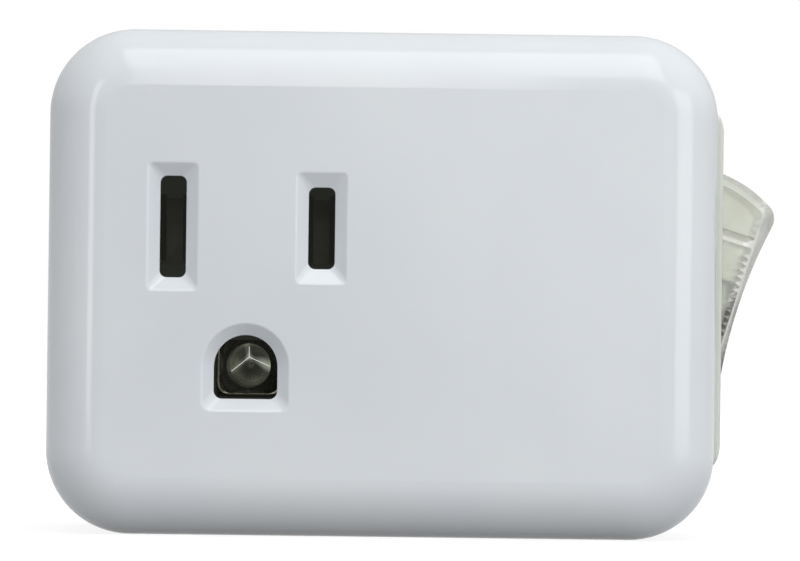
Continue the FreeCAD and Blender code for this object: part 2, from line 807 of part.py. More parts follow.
def make_blade(name, side):
    """Flat plug blade with a hole, and a wide head that bears on the cover's inside."""
    body = new_body(name)
    half, head = "blade_width / 2", "blade_head_width / 2"
    tip, corner = "blade_length", "blade_corner"
    outline = [
        ("blade_end", f"-{head}"), ("cover_inside", f"-{head}"), ("cover_inside", f"-{half}"),
        (f"{tip} - {corner}", f"-{half}", corner), (tip, f"{corner} - {half}"),
        (tip, f"{half} - {corner}", corner), (f"{tip} - {corner}", half),
        ("cover_inside", half), ("cover_inside", head), ("blade_end", head),
    ]
    pad(body, "YZ", f"{side} * blade_x", [outline], "blade_thickness")
    dressed(body, "Chamfer", "blade_bevel",
            lambda edge: edge.BoundBox.XLength < 1e-3
            and edge.BoundBox.YMin > size("blade_length - blade_corner") - 1e-3)
    holes = [("blade_hole_from_face", "0", "blade_hole_radius"), ("rivet_y", "0", "rivet_radius")]
    pocket(body, "YZ", f"{side} * blade_x", holes, "2 * blade_thickness")


def pin_seams():
    """The three seams of the pin's folded tip, which meet beside its middle."""
    ways = [("90", "seam_up_length"), ("seam_left_angle", "seam_side_length"),
            ("seam_right_angle", "seam_side_length")]
    corners = []
    for (angle, length), (after, _) in zip(ways, ways[1:] + ways[:1]):
        turn = "360" if after == "90" else "0"
        bisector = f"({angle} + {after} + {turn}) / 2"
        inner = f"pin_seam / 2 / sin(({after} + {turn} - {angle}) / 2 * 1 deg)"
        for along, across, way in ((length, -1, angle), (length, 1, angle), (inner, 0, bisector)):
            corners.append((
                f"seam_left - ({along}) * cos(({way}) * 1 deg)"
                f" + {across} * pin_seam / 2 * sin(({way}) * 1 deg)",
                f"seam_above + ({along}) * sin(({way}) * 1 deg)"
                f" + {across} * pin_seam / 2 * cos(({way}) * 1 deg)"))
    return corners


def make_ground_pin():
    """Hollow plug pin with a collar behind the cover and a tip folded from three petals."""
    body = new_body("ground_pin")
    inside = "pin_radius - pin_wall"
    shoulder = "pin_length - pin_radius"
    revolved(body, [
        ("leaf_end", inside), (shoulder, inside, inside, "hollow"),
        ("pin_length - pin_wall", "0"), ("pin_length", "0", "pin_radius"),
        (shoulder, "pin_radius"), ("0", "pin_radius"), ("0", "pin_root_radius"),
        ("cover_inside", "pin_root_radius"), ("cover_inside", "pin_collar_radius"),
        ("collar_y", "pin_collar_radius"),
        ("collar_y", "pin_radius"), ("leaf_end", "pin_radius"),
    ])
    pocket(body, "YZ", "pin_length - pin_radius", [pin_seams()], "2 * pin_radius", 1)
    body.Placement.Rotation = FreeCAD.Rotation(FreeCAD.Vector(0, 0, 1), 90)
    place(body, "0", "0", "ground_z")


def make_blade_rivets():
    """One rivet through each blade's head, and through what it carries."""
    rivets = []
    grip = "blade_thickness + strip"
    for side in (-1, 1):
        left = f"{side} * blade_x - blade_thickness / 2"
        rivets.append(fused([
            cylinder("X", left, "rivet_y", "0", "rivet_radius", grip),
            cylinder("X", f"{left} - rivet_head_height", "rivet_y", "0",
                     "rivet_head_radius", "rivet_head_height"),
            cylinder("X", f"{left} + {grip}", "rivet_y", "0",
                     "rivet_head_radius", "rivet_head_height"),
        ]))
    group("blade_rivets", rivets)


def make_line_lug():
    """Crimp lug on the hot blade: a flat plate and a barrel round the line wire."""
    body = new_body("line_lug")
    face = "blade_x + blade_thickness / 2"
    plate = centred("rivet_y", "0", "lug_length", "2 * lug_half_height")
    pad(body, "YZ", face, [plate], "strip", 1)
    top = "-lug_half_height"
    pad(body, "XY", top, [("barrel_x", "rivet_y", "barrel_radius")], "barrel_length", -1)
    pocket(body, "XY", top, [("barrel_x", "rivet_y", "wire_radius")], "barrel_length", -1)
    pocket(body, "YZ", face, [("rivet_y", "0", "rivet_radius")], "strip", 1)


def make_screws():
    """Case screws from the rear, and the screws that hold the retainer and block."""
    group("case_screws", [screw(x, "case_screw_head", z, "case_screw_length")
                          for x, z in boss_places()])
    length = "retainer_rear - front_inside - stud_height + stud_bore_depth - screw_end_gap"
    group("retainer_screws", [screw(x, "retainer_rear", z, length) for x, z in stud_places()])


def make_switch_body():
    """Housing of the rocker switch with its bezel, snap wings, cavity and terminal slots."""
    body = new_body("switch_body")
    half_length = "switch_length / 2"
    pad(body, "YZ", "case_right",
        [centred("switch_y", "switch_z", "switch_width", "switch_length")], "switch_depth", -1)
    pad(body, "YZ", "case_right",
        [centred("switch_y", "switch_z", "bezel_width", "bezel_length", "bezel_corner")],
        "bezel_thickness", 1)
    dressed(body, "Fillet", "bezel_edge", lambda edge: lies(edge, "X", "switch_face"))
    rise = "(bezel_thickness - bezel_lip)"
    ramps = []
    for side in (-1, 1):
        end = f"switch_z + {side} * bezel_length / 2"
        ramp = [("case_right + bezel_lip", end), ("switch_face", f"{end} - {side} * bezel_ramp"),
                ("switch_face + bezel_edge", f"{end} - {side} * bezel_ramp"),
                ("switch_face + bezel_edge", f"{end} + {side} * bezel_edge"),
                ("case_right + bezel_lip", f"{end} + {side} * bezel_edge")]
        bow = (f"(bezel_ramp ^ 2 + {rise} ^ 2) / (2 * {rise})",)
        if side > 0:
            ramp[0] += bow + ("hollow",)
        else:
            ramp[0] += bow
        ramps.append(ramp)
    pocket(body, "XZ", "switch_y", ramps, "bezel_width")
    catch = "case_right - wall - wing_gap"
    for side, turn in ((-1, 1), (1, -1)):
        root = f"switch_z + {side} * {half_length}"
        wing = [(f"{catch} - wing_length", root), (catch, root),
                (catch, f"{root} + {side} * wing_reach")]
        pad(body, "XZ", "switch_y", [wing[::-turn]], "wing_width")
    rise, drop = "(pivot_depth + bezel_edge)", "cavity_depth"
    upper = f"sqrt(cavity_radius ^ 2 - {rise} ^ 2)"
    lower = f"sqrt(cavity_radius ^ 2 - {drop} ^ 2)"
    cavity = [
        (f"pivot_x - {drop}", f"switch_z - {lower}", "cavity_radius"),
        (f"pivot_x + {rise}", f"switch_z - {upper}"),
        (f"pivot_x + {rise}", f"switch_z + {upper}", "cavity_radius"),
        (f"pivot_x - {drop}", f"switch_z + {lower}"),
    ]
    pocket(body, "XZ", "switch_y", [cavity], "cavity_width")
    chamber = rectangle("floor_inside", "switch_z - chamber_length / 2",
                        f"pivot_x - {drop}", "switch_z + chamber_length / 2")
    pocket(body, "XZ", "switch_y", [chamber], "chamber_width")
    pocket(body, "XZ", "switch_y", [("pivot_x", "switch_z", "trunnion_radius + trunnion_gap")],
           "switch_width")
    slots = [centred("switch_y", f"switch_z + {step} * terminal_pitch",
                     "tab_width + 2 * tab_gap", "tab_thickness + 2 * tab_gap")
             for step in (-1, 0, 1)]
    pocket(body, "YZ", "floor_outside", slots, "switch_floor", 1)


def make_rocker():
    """Clear rocker: round ends about its pivot, a hollow face, ribs and the plunger's socket."""
    body = new_body("rocker")
    skirt_z = "sqrt(rocker_radius ^ 2 - rocker_skirt ^ 2)"
    pad(body, "XZ", "0", [[
        ("-rocker_skirt", f"-{skirt_z}", "rocker_radius"),
        ("face_x", "-face_z", "rocker_face_radius", "hollow"),
        ("face_x", "face_z", "rocker_radius"), ("-rocker_skirt", skirt_z),
    ]], "rocker_width")
    dressed(body, "Fillet", "rocker_corner", lambda edge: lies(edge, "X", "face_x")
            and edge.BoundBox.YLength > edge.BoundBox.ZLength)
    inner_skirt = "sqrt(inner_radius ^ 2 - rocker_skirt ^ 2)"
    inner_z = "sqrt(inner_radius ^ 2 - inner_face_x ^ 2)"
    pocket(body, "XZ", "0", [[
        ("-rocker_skirt", f"-{inner_skirt}", "inner_radius"),
        ("inner_face_x", f"-{inner_z}"),
        ("inner_face_x", inner_z, "inner_radius"), ("-rocker_skirt", inner_skirt),
    ]], "rocker_width - 2 * rocker_wall")
    ribs = [rectangle("rib_bottom", f"{side} * rib_offset - rib_thickness / 2",
                      "face_root", f"{side} * rib_offset + rib_thickness / 2")
            for side in (-1, 1)]
    pad(body, "XZ", "0", ribs, "rocker_width - rocker_wall")
    prisms = []
    for step in range(int(size("prism_length / prism_pitch"))):
        low = f"prism_start + {step} * prism_pitch"
        prisms.append([
            ("inner_face_x - prism_height", f"{low} + prism_pitch / 2"),
            ("face_root", f"{low} + prism_flat / 2"),
            ("face_root", f"{low} + prism_pitch - prism_flat / 2"),
        ])
    prisms = [outline for outline in prisms
              if abs(size(outline[0][1]) + size("rib_offset")) > size("prism_pitch")]
    pad(body, "XZ", "0", prisms, "rocker_width - rocker_wall")
    pad(body, "YZ", "-socket_depth", [("0", "0", "socket_radius")],
        "socket_depth + face_root", 1)
    pocket(body, "YZ", "-socket_depth", [("0", "0", "plunger_radius + plunger_gap")],
           "socket_depth + socket_blind", 1)
    for side in (-1, 1):
        pad(body, "XZ", f"{side} * (rocker_width - rocker_wall) / 2",
            [("0", "0", "trunnion_radius")],
            "(switch_width - rocker_width + rocker_wall) / 2 - trunnion_recess", side)
    place(body, "pivot_x", "switch_y", "switch_z", "rocker_tilt")


def make_plunger():
    """Sprung plunger that slides in the rocker's socket, with a round tip."""
    body = new_body("plunger")
    neck = "(-plunger_tip_depth + plunger_tip_radius)"
    revolved(body, [
        ("-plunger_tip_depth", "0"), ("-plunger_back_depth", "0"),
        ("-plunger_back_depth", "plunger_radius"),
        ("-plunger_shoulder_depth", "plunger_radius"),
        ("-(plunger_shoulder_depth + plunger_radius - plunger_tip_radius)", "plunger_tip_radius"),
        (neck, "plunger_tip_radius", "plunger_tip_radius"),
    ])
    place(body, "pivot_x", "switch_y", "switch_z", "rocker_tilt")


def make_plunger_spring():
    """Coil spring between the socket's blind end and the plunger's back."""
    made = doc.addObject("Part::Feature", "plunger_spring")
    room = size("plunger_back_depth + socket_blind - 2 * spring_gap")
    thick = size("spring_wire_radius")
    height = room - 2 * thick
    radius, turns = size("spring_radius"), size("spring_turns")

    def on_coil(quarters):
        angle = math.pi / 2 * quarters
        return FreeCAD.Vector(radius * math.cos(angle), radius * math.sin(angle),
                              height * quarters / (4 * turns))

    coil = [Part.Arc(on_coil(n), on_coil(n + 0.5), on_coil(n + 1)).toShape()
            for n in range(int(4 * turns))]
    along = coil[0].tangentAt(coil[0].FirstParameter)
    ring = Part.Wire(Part.makeCircle(thick, on_coil(0), along))
    spring = Part.Wire(coil).makePipeShell([ring], True, False)
    seat = FreeCAD.Vector(thick - size("plunger_back_depth - spring_gap"), 0, 0)
    made.Shape = spring.transformed(FreeCAD.Placement(seat, TURN["X"]).toMatrix(), True)
    place(made, "pivot_x", "switch_y", "switch_z", "rocker_tilt")
    piece(made, "plunger_spring")


def make_moving_contact():
    """See-saw strip on the line terminal, and its silver button."""
    body = new_body("moving_contact")
    pad(body, "XZ", "0",
        [rectangle("0", "-seesaw_long_arm", "seesaw_thickness", "seesaw_short_arm")],
        "seesaw_width")
    place(body, "fulcrum_x", "switch_y", "switch_z", "-seesaw_tilt")
    button = new_body("moving_contact_button")
    pad(button, "YZ", "0", [("0", "-terminal_pitch", "button_radius")], "button_height", -1)
    place(button, "fulcrum_x", "switch_y", "switch_z", "-seesaw_tilt")


def make_tab(name, z):
    """The outside tab of a terminal, with a wire hole, through the switch's floor."""
    body = new_body(name)
    near, far = "switch_y - tab_width / 2", "switch_y + tab_width / 2"
    outline = [
        ("tab_end", f"{near} + tab_corner"), ("tab_end + tab_corner", near),
        ("floor_inside", near), ("floor_inside", far),
        ("tab_end + tab_corner", far), ("tab_end", f"{far} - tab_corner"),
    ]
    pad(body, "XY", z, [outline], "tab_thickness")
    hole = ("tab_end + 2 * tab_hole_radius", "switch_y", "tab_hole_radius")
    pocket(body, "XY", z, [hole], "2 * tab_thickness")
    return body


def make_terminals():
    """Line, load and lamp terminals, and the fixed silver button."""
    half = "tab_thickness / 2"
    line = make_tab("line_terminal", "switch_z")
    apex = "fulcrum_x - fulcrum_gap"
    roof = [("floor_inside - switch_floor", f"switch_z - {half}"),
            (f"{apex} - fulcrum_roof", f"switch_z - {half}"), (apex, "switch_z"),
            (f"{apex} - fulcrum_roof", f"switch_z + {half}"),
            ("floor_inside - switch_floor", f"switch_z + {half}")]
    pad(line, "XZ", "switch_y", [roof], "stub_width")
    load = make_tab("load_terminal", "load_z")
    pad(load, "XZ", "switch_y",
        [rectangle("floor_outside", f"load_z - {half}", "load_foot_top", f"load_z + {half}")],
        "stub_width")
    pad(load, "XZ", "switch_y",
        [rectangle("load_foot_top - load_foot_height", "load_z - load_foot_half",
                   "load_foot_top", "load_z + load_foot_half")], "stub_width")
    lamp = make_tab("lamp_terminal", "lamp_tab_z")
    pad(lamp, "XZ", "switch_y",
        [rectangle("floor_outside", f"lamp_tab_z - {half}", "lamp_stub_top",
                   f"lamp_tab_z + {half}")], "stub_width")
    piece(cylinder("X", "load_foot_top", "switch_y", "load_z", "button_radius", "button_height"),
          "fixed_contact_button")


def make_lamp():
    """Neon lamp standing under the rocker's outer end, its electrodes, resistor and leads."""
    glass = new_body("neon_lamp")
    inside = "(lamp_radius - lamp_glass_thickness)"
    shoulder = "lamp_length - lamp_radius"
    revolved(glass, [
        ("0", "0"), ("lamp_pinch", "0"), ("lamp_pinch", inside),
        (shoulder, inside, inside, "hollow"), ("lamp_length - lamp_glass_thickness", "0"),
        ("lamp_length", "0", "lamp_radius"), (shoulder, "lamp_radius"), ("0", "lamp_radius"),
    ])
    place(glass, "lamp_base", "switch_y", "lamp_z")
    group("lamp_electrodes", [
        cylinder("X", "lamp_base + lamp_pinch", f"switch_y + {side} * electrode_offset", "lamp_z",
                 "electrode_radius", "electrode_length") for side in (-1, 1)])
    piece(cylinder("Z", "resistor_x", "resistor_y", "resistor_bottom",
                   "resistor_radius", "resistor_length"), "lamp_resistor")
    near, far = "switch_y - electrode_offset", "switch_y + electrode_offset"
    clear_x = "lamp_stub_top + 2.2 * lead_radius"
    side_y = "switch_y + stub_width / 2"
    ways = [
        [("lamp_base", near, "lamp_tab_z"), ("lamp_stub_top", near, "lamp_tab_z")],
        [("lamp_base", far, "lamp_z"), (clear_x, far, "lamp_z"), (clear_x, "resistor_y", "lamp_z"),
         ("resistor_x", "resistor_y", "lamp_z - lead_drop"),
         ("resistor_x", "resistor_y", "resistor_top")],
        [("resistor_x", "resistor_y", "resistor_bottom"),
         ("resistor_x", "resistor_y", "load_z"), ("resistor_x", side_y, "load_z")],
    ]
    leads = []
    for way in ways:
        lead = doc.addObject("Part::Feature", "lead")
        lead.Shape = tube(way, "lead_radius")[0]
        leads.append(lead)
    group("lamp_leads", leads)


def make_wires():
    """Hookup wires from the blade lug and contacts to the switch's tabs."""
    on_tab = "(tab_thickness / 2 + wire_rest)"
    tab_middle = "tab_end + tab_length / 2"
    drop = "lug_half_height + line_wire_drop"
    wire("line_wire", [
        ("barrel_x", "rivet_y", "-lug_half_height"),
        ("barrel_x", "rivet_y", f"-({drop})"),
        ("block_half_width + line_wire_offset", "rivet_y - line_wire_forward",
         f"-({drop} + line_wire_slope)"),
        ("tab_end - line_wire_entry", "switch_y", f"switch_z - {on_tab}"),
        (tab_middle, "switch_y", f"switch_z - {on_tab}"),
    ])
    beside = "block_half_width + load_wire_offset"
    wire("load_wire", [
        (beside, "bridge_front - wire_rest", "hot_tab_width / 2"),
        (beside, "bridge_front - wire_rest", "load_z + load_wire_height"),
        ("block_half_width + load_wire_bend", "switch_y", f"load_z - {on_tab}"),
        (tab_middle, "switch_y", f"load_z - {on_tab}"),
    ])
    tail_x = "blade_thickness / 2 + strip - blade_x + wire_rest"
    over = "block_top + neutral_wire_height"
    wire("neutral_wire", [
        (tail_x, "rivet_y", "rivet_head_radius + neutral_wire_start"),
        (tail_x, "rivet_y", over),
        ("block_half_width", "rivet_y", over),
        ("tab_end - neutral_wire_bend", "(rivet_y + switch_y) / 2",
         "block_top - neutral_wire_drop"),
        ("tab_end - neutral_wire_entry", "switch_y",
         f"lamp_tab_z + {on_tab} + neutral_wire_slope"),
        (tab_middle, "switch_y", f"lamp_tab_z + {on_tab}"),
    ])


def fill_sheet():
    for row, (name, value) in enumerate(SIZES.items(), start=1):
        sheet.set(f"A{row}", name)
        sheet.set(f"B{row}", str(value))
        sheet.setAlias(f"B{row}", name)
    doc.recompute()


def check_and_write():
    """Stop at any object that failed, then write each sub-part to its own file."""
    doc.recompute()
    for made in doc.Objects:
        if "Invalid" in made.State or "Error" in made.State:
            raise ValueError(f"{made.Label} failed: {made.State}")
    for made in pieces:
        if made.Shape.isNull() or not made.Shape.isValid():
            raise ValueError(f"{made.Label} has no valid shape")
    os.makedirs("parts", exist_ok=True)
    for made in pieces:
        made.Shape.exportStep(f"parts/{made.Label}.step")
        print(made.Label, len(made.Shape.Solids), round(made.Shape.Volume, 2))


fill_sheet()
make_front_shell()
make_rear_cover()
make_screws()
make_outlet_block()
make_contact_retainer()
make_neutral_contact()
make_hot_contact()
make_ground_contact()
make_blade("neutral_blade", -1)
make_blade("hot_blade", 1)
make_ground_pin()
make_blade_rivets()
make_line_lug()
make_switch_body()
make_rocker()
make_plunger()
make_plunger_spring()
make_moving_contact()
make_terminals()
make_lamp()
make_wires()
check_and_write()
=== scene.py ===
"""Looks of the switched outlet tap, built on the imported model: finishes, light and camera."""

import math

import bpy
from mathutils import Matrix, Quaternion, Vector


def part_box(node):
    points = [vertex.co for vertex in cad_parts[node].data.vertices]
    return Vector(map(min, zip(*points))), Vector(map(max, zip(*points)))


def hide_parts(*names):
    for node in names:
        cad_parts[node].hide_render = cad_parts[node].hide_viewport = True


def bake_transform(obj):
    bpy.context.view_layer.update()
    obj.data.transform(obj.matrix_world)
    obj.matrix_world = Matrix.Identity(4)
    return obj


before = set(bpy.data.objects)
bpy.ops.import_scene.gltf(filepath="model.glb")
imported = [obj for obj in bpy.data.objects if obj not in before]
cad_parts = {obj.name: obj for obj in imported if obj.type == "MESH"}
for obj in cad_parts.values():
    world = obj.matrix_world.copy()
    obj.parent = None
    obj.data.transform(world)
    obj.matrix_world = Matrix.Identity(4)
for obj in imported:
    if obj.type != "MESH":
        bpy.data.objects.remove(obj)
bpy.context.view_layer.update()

MM = 0.001
WHITE = (1.0, 1.0, 1.0, 1.0)
ORIGIN = Vector()
RIGHT, BACK, HIGH = Vector((1, 0, 0)), Vector((0, 1, 0)), Vector((0, 0, 1))

# sockets of a Mix node that mixes colours
FIRST, SECOND, MIXED = 6, 7, 2

# photograph's view: straight on to the front, from nearly half a metre, its turn in degrees and
# its lens and sensor in mm
EYE = Vector((4.61, -448.0, -9.56)) * MM
AIM = Vector((8.84, -28.0, -6.95)) * MM
ROLL = 0.75
LENS = 221.7
SENSOR = 36.0
SHIFT = (0.0625, 0.0369)

# world's light: its colour, its strength, less on the left, and how bright its ceiling looks to
# gloss, each with the span of directions over which it changes
FILL_COLOUR = (0.98, 0.99, 1.0, 1.0)
FILL_LEFT, FILL = 0.43, 0.72
FILL_SPAN = (-0.9, 0.1)
CEILING = 0.6
CEILING_SPAN = (-0.06, 0.07)

# studio's floor and the card round the lens, lengths in metres but for the card's fade in mm
MIDDLE = Vector((11.6, -14.0, -4.7)) * MM
FLOOR_SIDE = 3.0
FLOOR_COLOUR = 0.38
FLOOR_GLOW = 0.88
FLOOR_GLOSS = 0.75
SHADOW_DEPTH = 0.17
SHADOW_REACH = (0.10, 0.32)
CARD_SIDE = 0.5
CARD_TOP = 0.07
CARD_BEHIND = 0.15
CARD_COLOUR = 0.02
CARD_WAY = (0.9, 0.0, 0.44)
CARD_FADE = (5.0, 55.0)
CARD_GLOW = 1.15

# rocker: its pivot, its own two ways at rest, its outline in them, and where its light and shade
# are painted, in mm
PIVOT = Vector((37.49, -13.25, -4.7))
OUTWARD = Vector((0.95502, 0.0, -0.29654))
UPWARD = Vector((0.29654, 0.0, 0.95502))
ROCKER_INSIDE = 10.0
FACE_INSIDE = 5.152
FACE_TOP = 7.4
RIB_MIDDLE = 5.83
RIB_HALF = 0.415
RIB_SHADE = (0.30, 0.52)
RIB_LIGHT = (-0.38, -0.08)
PRISM_HEIGHT = 0.5
PRISM_PITCH = 0.62
PRISM_START = -4.96
PRISMS_DARKEN = (1.8, 0.4)
PRISMS_END = (0.3, -0.5)
FACE_PALER = (4.5, 6.5)
FACE_LINE = (0.20, 0.12)
SOCKET_HALF = 2.1
SOCKET_MOUTH = (1.0, 2.0)
TIP_OUT = (5.3, 6.2)
TIP_UP = (7.3, 8.7)

# folded tip of the ground pin: where it begins, where its three seams meet and end, and the
# hollows between them where its painted glow is dimmer, each by its middle from there, its half
# width and its half height, in mm
PIN_TIP = 18.7
SEAMS_MEET = Vector((-0.2, 0.0, -11.24))
SEAM_ENDS = (Vector((-0.35, 0.0, -10.24)), Vector((-1.86, 0.0, -12.61)),
             Vector((1.78, 0.0, -12.08)))
HOLLOWS = ((1.15, 0.6, 1.0, 0.8), (-0.05, -0.85, 1.0, 0.45), (-1.1, -0.1, 0.5, 0.4))

# where the painted shade begins on the pin's mouth, under the ground channel's foot and along its
# left side, in mm
PIN_MOUTH = (0.0, -1.0)
CHANNEL_FOOT = (-14.14, -14.26)
CHANNEL_LEFT = (-1.6, -2.6)


def node(tree, kind, **settings):
    """A shader node with its settings. A setting that names an input socket sets its value."""
    made = tree.nodes.new("ShaderNode" + kind)
    for name, value in settings.items():
        if hasattr(made, name):
            setattr(made, name, value)
        else:
            made.inputs[name.replace("_", " ")].default_value = value
    return made


def join(tree, source, target):
    tree.links.new(source, target)


def effect(name, inputs, outputs):
    """An empty node group with its named inputs and outputs."""
    tree = bpy.data.node_groups.new(name, "ShaderNodeTree")
    for label, kind, value in inputs:
        socket = tree.interface.new_socket(label, in_out="INPUT", socket_type="NodeSocket" + kind)
        socket.default_value = value
    for label, kind in outputs:
        tree.interface.new_socket(label, in_out="OUTPUT", socket_type="NodeSocket" + kind)
    return tree, tree.nodes.new("NodeGroupInput"), tree.nodes.new("NodeGroupOutput")


def worked(tree, operation, *terms):
    """One step of arithmetic on numbers and sockets."""
    step = node(tree, "Math", operation=operation)
    for socket, term in zip(step.inputs, terms):
        if isinstance(term, (int, float)):
            socket.default_value = term
        else:
            join(tree, term, socket)
    return step.outputs[0]


def squares(tree, across, upward):
    """The squares of two distances, added."""
    return worked(tree, "ADD", worked(tree, "MULTIPLY", across, across),
                  worked(tree, "MULTIPLY", upward, upward))


def per_metre(tree, size):
    """How often a size in millimetres goes into a metre."""
    return worked(tree, "DIVIDE", 1 / MM, size)


def noise_at(tree, size, detail=2.0):
    """Noise over the piece's own place, its grains as large as the socket says, in millimetres."""
    place = node(tree, "TexCoord")
    noise = node(tree, "TexNoise", Detail=detail, Roughness=0.5)
    join(tree, place.outputs["Object"], noise.inputs["Vector"])
    join(tree, per_metre(tree, size), noise.inputs["Scale"])
    return noise


def measured(tree, way, start):
    """How far a place lies along a way of the part, in mm, from where that distance is zero."""
    place = node(tree, "TexCoord")
    along = node(tree, "VectorMath", operation="DOT_PRODUCT")
    along.inputs[1].default_value = way / MM
    join(tree, place.outputs["Object"], along.inputs[0])
    return worked(tree, "SUBTRACT", along.outputs["Value"], way.dot(start))


def rise(tree, value, low, high):
    """0 below the low end, 1 above the high end and soft between. The ends may be swapped."""
    span = node(tree, "MapRange", interpolation_type="SMOOTHSTEP",
                From_Min=min(low, high), From_Max=max(low, high),
                To_Min=float(low > high), To_Max=float(low < high))
    join(tree, value, span.inputs["Value"])
    return span.outputs["Result"]


def between(tree, value, low, high, soft):
    """1 from the low end to the high end and 0 outside them, softly."""
    return worked(tree, "MULTIPLY", rise(tree, value, low - soft, low + soft),
                  rise(tree, value, high + soft, high - soft))


def painted(tree, paint, colour, mask):
    """The colour laid over the paint where the mask is 1. Each is a colour or a socket."""
    mix = node(tree, "Mix", data_type="RGBA")
    join(tree, mask, mix.inputs["Factor"])
    for socket, layer in ((mix.inputs[FIRST], paint), (mix.inputs[SECOND], colour)):
        if isinstance(layer, tuple):
            socket.default_value = (*layer, 1)
        else:
            join(tree, layer, socket)
    return mix.outputs[MIXED]


def make_drift():
    """Slow drift of a moulded or rolled surface's colour."""
    tree, given, result = effect(
        "Colour drift",
        [("Light", "Color", WHITE), ("Dark", "Color", WHITE), ("Size", "Float", 10.0)],
        [("Colour", "Color")])
    noise = noise_at(tree, given.outputs["Size"], detail=3.0)
    spread = node(tree, "MapRange", interpolation_type="SMOOTHSTEP", From_Min=0.3, From_Max=0.7)
    join(tree, noise.outputs["Fac"], spread.inputs["Value"])
    mixed = painted(tree, given.outputs["Dark"], given.outputs["Light"], spread.outputs["Result"])
    join(tree, mixed, result.inputs["Colour"])
    return tree


def make_specks():
    """Scattered specks of dust or shop dirt: 1 in a speck, 0 elsewhere."""
    tree, given, result = effect(
        "Specks",
        [("Spacing", "Float", 4.0), ("Speck size", "Float", 0.05), ("Share", "Float", 0.3)],
        [("Mask", "Float")])
    spacing, size = given.outputs["Spacing"], given.outputs["Speck size"]
    place = node(tree, "TexCoord")
    cells = node(tree, "TexVoronoi")
    join(tree, place.outputs["Object"], cells.inputs["Vector"])
    join(tree, per_metre(tree, spacing), cells.inputs["Scale"])
    split = node(tree, "SeparateColor")
    join(tree, cells.outputs["Color"], split.inputs["Color"])
    chosen = worked(tree, "LESS_THAN", split.outputs["Red"], given.outputs["Share"])
    ragged = worked(tree, "MULTIPLY", size, noise_at(tree, size).outputs["Fac"])
    near = worked(tree, "LESS_THAN", cells.outputs["Distance"],
                  worked(tree, "DIVIDE", ragged, spacing))
    join(tree, worked(tree, "MULTIPLY", chosen, near), result.inputs["Mask"])
    return tree


def make_grain():
    """Fine grain of a mould or a plated surface, as a height and as a roughness."""
    tree, given, result = effect(
        "Fine grain",
        [("Size", "Float", 0.2), ("Smooth", "Float", 0.2), ("Rough", "Float", 0.3)],
        [("Height", "Float"), ("Roughness", "Float")])
    noise = noise_at(tree, given.outputs["Size"])
    span = node(tree, "MapRange", From_Min=0.3, From_Max=0.7)
    join(tree, noise.outputs["Fac"], span.inputs["Value"])
    join(tree, given.outputs["Smooth"], span.inputs["To Min"])
    join(tree, given.outputs["Rough"], span.inputs["To Max"])
    join(tree, noise.outputs["Fac"], result.inputs["Height"])
    join(tree, span.outputs["Result"], result.inputs["Roughness"])
    return tree


def make_strokes():
    """Long fine strokes along one way, as drawn metal and extruded sleeving have."""
    tree, given, result = effect(
        "Strokes",
        [("Along", "Vector", (0.05, 1.0, 1.0)), ("Size", "Float", 0.1)],
        [("Height", "Float")])
    place = node(tree, "TexCoord")
    stretch = node(tree, "VectorMath", operation="MULTIPLY")
    join(tree, place.outputs["Object"], stretch.inputs[0])
    join(tree, given.outputs["Along"], stretch.inputs[1])
    noise = node(tree, "TexNoise")
    join(tree, stretch.outputs[0], noise.inputs["Vector"])
    join(tree, per_metre(tree, given.outputs["Size"]), noise.inputs["Scale"])
    join(tree, noise.outputs["Fac"], result.inputs["Height"])
    return tree


def make_depth():
    """How deep a place lies behind the front: 0 at the first depth, 1 at the second, in mm."""
    tree, given, result = effect(
        "Depth", [("First", "Float", 0.0), ("Second", "Float", 1.0)], [("Mask", "Float")])
    place = node(tree, "TexCoord")
    split = node(tree, "SeparateXYZ")
    join(tree, place.outputs["Object"], split.inputs[0])
    span = node(tree, "MapRange", interpolation_type="SMOOTHSTEP")
    join(tree, worked(tree, "MULTIPLY", split.outputs["Y"], 1 / MM), span.inputs["Value"])
    join(tree, given.outputs["First"], span.inputs["From Min"])
    join(tree, given.outputs["Second"], span.inputs["From Max"])
    join(tree, span.outputs["Result"], result.inputs["Mask"])
    return tree


EFFECTS = {"drift": make_drift(), "specks": make_specks(), "grain": make_grain(),
           "strokes": make_strokes(), "depth": make_depth()}


def placed(tree, name, **values):
    """One of the shared effects inside a material, with this material's own values."""
    made = tree.nodes.new("ShaderNodeGroup")
    made.node_tree = EFFECTS[name]
    for label, value in values.items():
        made.inputs[label.replace("_", " ")].default_value = value
    return made


